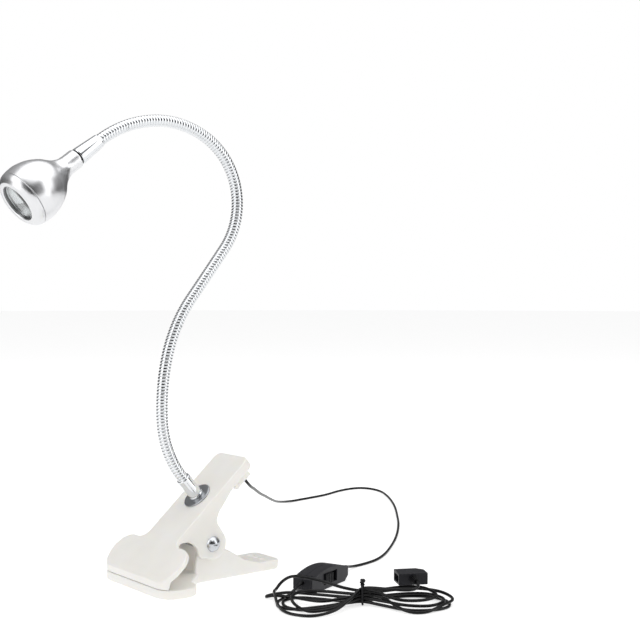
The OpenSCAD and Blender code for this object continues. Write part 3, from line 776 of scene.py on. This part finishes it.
def neckSection(whole, low, high):
    # the part of a straight tube between two lengths, bent along the neck
    bm = whole.copy()
    for z, inner in ((low, True), (high, False)):
        bmesh.ops.bisect_plane(bm, geom=bm.verts[:] + bm.edges[:] + bm.faces[:], dist=1e-7,
                               plane_co=(0, 0, z), plane_no=(0, 0, 1), clear_inner=inner,
                               clear_outer=not inner)
    for vert in bm.verts:
        x, y, z = vert.co
        place, heading = neckAt(z)
        a = math.radians(heading)
        vert.co = place + Vector((x * math.sin(a), y, -x * math.cos(a)))
    return bm


def buildNeck():
    # cut halfway between the hinges, so that each piece spans one of them; only the end pieces are
    # carried by a body
    bodies, step, count = neckValues["bodies"], neckValues["step"], len(neckValues["turns"])
    end = count * step + neckValues["inCollar"]
    cuts = [-neckValues["inFerrule"]] + [(i + 0.5) * step for i in range(count)] + [end]
    kinds = [("neckHose", windHose(end), chrome, "chrome_plate", "hose_", neckValues["wall"]),
             ("neckWire", plainWire(end), redPvc, "wire_cover", "wires_", None)]
    for prefix, whole, material, slotName, cadName, wall in kinds:
        for i in range(count + 1):
            piece = makePiece(neckSection(whole, cuts[i], cuts[i + 1]), prefix + str(i), material, 60)
            if i in (0, count):
                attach(piece, bodies[0] if i == 0 else bodies[-1])
            else:
                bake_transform(piece)
            if i < count:
                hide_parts(cadName + str(i + 1))
            if wall:
                solidify(piece, wall)
        whole.free()


buildNeck()
print("gooseneck made")

# heights run along the head's axis from the hose's end; the widest ring is at "bulge"
headValues = {
    "bulge": 52.2,
    "seam": 6,              # in front of the widest ring, like "front"
    "front": 11,
    "shell": 1.1,
    "outline": [    # radius at distances behind the widest ring
        (5.35, 34), (5.6, 33.4), (5.6, 30), (5.62, 27), (5.95, 24), (7.5, 20.4), (9.7, 17.4),
        (12.2, 14.6), (14.4, 11), (16.1, 7), (17.1, 3), (17.5, 0), (17.42, -3), (17.12, -5.6),
        (16.85, -6)],
    "bezel": [      # radius at distances in front of the seam
        (16.7, 0.1), (16.95, 0.45), (16.65, 1.4), (16.2, 2.3), (15.5, 3.3), (14.75, 4), (13.95, 4.7)],
    "faceRadius": 13.5,
    "spigotRadius": 15.85,  # of the bezel, inside the shell
    "spigotDeep": 3,
    "lensRadius": 11,
}
collarValues = {"length": 17, "small": 3.9, "big": 5.1, "hoseBore": 3.52, "hoseDepth": 3,
                "wireBore": 2.25, "ringRadius": 4.4, "ringThick": 1.2, "clear": 0.03}
lensValues = {"rim": 0.95, "seat": 2.08, "thick": 1.5, "dome": 0.85, "rib": 1.2, "steps": 10}
reflectorValues = {"back": 3, "front": 3.7, "hole": 3, "curve": 0.62, "steps": 12, "wall": 0.5}
ledValues = {"side": 3.6, "thick": 1.1, "edge": 0.25, "dome": 1.65, "domeUp": 0.95}


def shellPiece():
    outline = [Vector((r, headValues["bulge"] - behind, 0)) for r, behind in headValues["outline"]]
    smooth = [(p.x, p.y) for p in throughPoints(outline, 5)]
    piece = makePiece(placed(spinProfile(smooth, 128), headMatrix), "headShell", satinAluminium)
    return solidify(piece, headValues["shell"] * mm)


def bezelPiece():
    # a rounded ring in front of the shell, with a groove between them and a lip for the lens
    seam, front = (headValues["bulge"] + headValues[k] for k in ("seam", "front"))
    lens, spigot = headValues["lensRadius"], headValues["spigotRadius"]
    ledge, back = front - 2.02, seam - headValues["spigotDeep"]
    outside = [Vector((r, seam + ahead, 0)) for r, ahead in headValues["bezel"]]
    outside.append(Vector((headValues["faceRadius"], front, 0)))
    smooth = [(p.x, p.y) for p in throughPoints(outside, 4)]
    inside = [(lens + 0.25, front - 0.05), (lens, front - 0.3), (lens, ledge), (lens + 1, ledge),
              (lens + 1, back), (spigot, back), (spigot, seam + 0.1)]
    bm = placed(spinProfile(smooth + inside, 128, True), headMatrix)
    return makePiece(bm, "headBezel", satinAluminium)


def lensPiece():
    # a plano-convex window with a fine rib round its rim
    seat = headValues["bulge"] + headValues["front"] - lensValues["seat"]
    wide, steps = headValues["lensRadius"] + lensValues["rim"], lensValues["steps"]
    back, curved = seat - lensValues["thick"], wide - lensValues["rib"]
    dome = [(curved - curved * k / steps,
             seat + 0.08 + lensValues["dome"] * math.sin(math.pi / 2 * k / steps))
            for k in range(steps + 1)]
    profile = [(0, back), (wide * 0.5, back), (wide, back), (wide, seat), (wide - 1, seat)] + dome
    return makePiece(placed(spinProfile(profile, 96), headMatrix), "headLens", clearPlastic)


def reflectorPiece():
    # a bowl behind the window
    back, front = (headValues["bulge"] - reflectorValues["back"],
                   headValues["bulge"] + headValues["front"] - reflectorValues["front"])
    small, wide, steps = reflectorValues["hole"], headValues["lensRadius"] - 0.1, reflectorValues["steps"]
    bowl = [(small + (wide - small) * (k / steps) ** reflectorValues["curve"],
             back + (front - back) * k / steps) for k in range(steps + 1)]
    bm = placed(spinProfile(bowl, 72), headMatrix)
    return solidify(makePiece(bm, "headReflector", mirrorCoat, 25), -reflectorValues["wall"] * mm)


def ledPiece():
    # the LED's square carrier and the dome of phosphor on it
    side, thick, edge, dome, domeUp = (
        ledValues[k] * mm for k in ("side", "thick", "edge", "dome", "domeUp"))
    back = (headValues["bulge"] - reflectorValues["back"]) * mm
    bm = bmesh.new()
    block = bmesh.ops.create_cube(bm, size=1)["verts"]
    bmesh.ops.scale(bm, vec=(side, side, thick), verts=block)
    bmesh.ops.bevel(bm, geom=bm.edges[:], offset=edge, offset_type="OFFSET", affect="EDGES",
                    segments=2, profile=0.5, material=-1)
    bmesh.ops.translate(bm, vec=(0, 0, back + thick / 2), verts=bm.verts)
    ball = bmesh.ops.create_uvsphere(bm, u_segments=32, v_segments=16, radius=dome)["verts"]
    bmesh.ops.translate(bm, vec=(0, 0, back + domeUp), verts=ball)
    return makePiece(placed(bm, headMatrix), "ledEmitter", phosphor)


def collarPiece():
    # a tapered sleeve over the hose's other end
    small, big, long, hose, wire, deep = (
        collarValues[k] for k in ("small", "big", "length", "hoseBore", "wireBore", "hoseDepth"))
    corners = [(hose, 0), (small, 0), (small + 0.16, 0.6), (big, long - 0.5), (big - 0.25, long),
               (wire, long), (wire, deep), (hose, deep)]
    return makePiece(turnedRing(corners, 0.2, 64, headMatrix), "headCollar", chrome)


def neckRingPiece():
    # a dark washer between the collar and the shell
    wire, wide = collarValues["wireBore"], collarValues["ringRadius"]
    low = collarValues["length"] + collarValues["clear"]
    high = collarValues["length"] + collarValues["ringThick"] - collarValues["clear"]
    corners = [(wire, low), (wide, low), (wide, high), (wire, high)]
    return makePiece(turnedRing(corners, 0.1, 48, headMatrix, 2), "neckRing", dullNylon)


settle(shellPiece(), "head", "spun_aluminium", "head_shell")
settle(bezelPiece(), "head", "spun_aluminium", "bezel_ring")
settle(lensPiece(), "head", "lens_clear", "lens")
settle(reflectorPiece(), "head", "reflector_metal", "reflector")
settle(ledPiece(), "head", "led_yellow", "led_emitter")
settle(collarPiece(), "head", "chrome_plate", "head_collar")
settle(neckRingPiece(), "head", "neck_dark", "neck_ring")
print("head made")

# the CAD pieces that stay as they are and only get a finish
staying = {
    "lock_washer": zincSteel, "base_nut": zincSteel, "gland_screws": zincSteel,
    "led_board": boardMask, "heat_spreader": turnedAluminium,
    "switch_contacts": contactBrass, "plug_contacts": contactBrass,
}
for name, material in staying.items():
    nodes[name].data.materials.clear()
    nodes[name].data.materials.append(material)

stageValues = {
    "floorRadius": 7,
    "paper": "#BEBEBE",
    "paperGlow": 0.66,
    "sky": [(0.0, 0.03), (0.28, 0.2), (0.8, 0.42)],     # how bright the mirrored room is, by height
    "ambient": 0.6,                                     # what matt things get from all round
}
lightValues = {     # place, what it faces, size, watts, and how bright its mirror image is
    "topLight": ((0.1, -0.2, 1.5), (0, 0, 0), (2.0, 2.0), 11.5, 0.62),
    "leftSoft": ((-1.5, 0.0, 0.75), (-0.05, 0, 0.2), (1.2, 1.8), 3.4, 0.85),
    "rightSoft": ((0.85, -1.25, 0.65), (0, 0, 0.15), (0.8, 1.6), 2, 0.85),
}


def makeFloor():
    material, tree, shader, _ = startMaterial("paper sweep", {
        "Roughness": 0.9, "Base Color": linear(stageValues["paper"]),
        "Emission Color": linear("#FFFFFF"), "Emission Strength": stageValues["paperGlow"]})
    bm = bmesh.new()
    bmesh.ops.create_circle(bm, cap_ends=True, segments=96, radius=stageValues["floorRadius"])
    makePiece(bm, "floor", material)


def makeRoom():
    # white to the eye, an even glow to matt things, and to gloss a room that darkens
    # towards the horizon
    world = bpy.data.worlds.new("studio")
    world.use_nodes = True
    scene.world = world
    tree = world.node_tree
    tree.nodes.clear()
    place = addNode(tree, "ShaderNodeTexCoord")
    split = addNode(tree, "ShaderNodeSeparateXYZ", {}, {"Vector": place.outputs["Generated"]})
    room = addNode(tree, "ShaderNodeValToRGB", {}, {"Fac": split.outputs["Z"]})
    stops = room.color_ramp.elements
    for position, level in stageValues["sky"]:
        stop = stops[0] if position == 0 else stops.new(position)
        stop.position = position
        stop.color = (level, level, level * 1.01, 1)
    stops[-1].color = (level, level, level, 1)
    ambient = stageValues["ambient"]
    ray = addNode(tree, "ShaderNodeLightPath")
    matt = addNode(tree, "ShaderNodeMix", {"data_type": "RGBA", 7: (ambient, ambient, ambient, 1)},
                   {0: ray.outputs["Is Diffuse Ray"], 6: room.outputs["Color"]})
    seen = addNode(tree, "ShaderNodeMix", {"data_type": "RGBA", 7: linear("#FFFFFF")},
                   {0: ray.outputs["Is Camera Ray"], 6: matt.outputs[2]})
    glow = addNode(tree, "ShaderNodeBackground", {"Strength": 1.0}, {"Color": seen.outputs[2]})
    addNode(tree, "ShaderNodeOutputWorld", {}, {"Surface": glow.outputs[0]})


def glossCard(name, place, target, size, colour, shine):
    # a flag or a glowing card that only gloss sees
    material, tree, shader, _ = startMaterial(name + " cloth", {
        "Roughness": 1, "Base Color": linear(colour), "Emission Color": linear("#FFFFFF"),
        "Emission Strength": shine})
    bm = bmesh.new()
    bmesh.ops.create_grid(bm, x_segments=1, y_segments=1, size=0.5)
    turn = (Vector(target) - Vector(place)).to_track_quat("Z", "Y").to_matrix().to_4x4()
    bmesh.ops.transform(bm, matrix=Matrix.Translation(place) @ turn @ Matrix.Diagonal((*size, 1, 1)),
                        verts=bm.verts)
    card = makePiece(bm, name, material)
    card.visible_camera = False
    card.visible_diffuse = False
    card.visible_shadow = False
    card.visible_transmission = False


def areaLight(name, place, target, size, power, shine):
    # a soft box, as a light for matt things and a glowing card for gloss
    data = bpy.data.lights.new(name, "AREA")
    data.shape = "RECTANGLE"
    data.size, data.size_y = size
    data.energy = power
    light = bpy.data.objects.new(name, data)
    light.location = place
    light.rotation_euler = (Vector(target) - Vector(place)).to_track_quat("-Z", "Y").to_euler()
    light.visible_glossy = False
    scene.collection.objects.link(light)
    glossCard(name + "Card", place, target, size, "#FFFFFF", shine)


makeFloor()
makeRoom()
for name, values in lightValues.items():
    areaLight(name, *values)
# the dark side of the room that the head mirrors
glossCard("cameraFlag", (-0.50, -0.88, 0.2), (-0.09, 0, 0.24), (0.85, 1.2), "#050506", 0)
scene.view_settings.view_transform = "Standard"
print("stage lit")
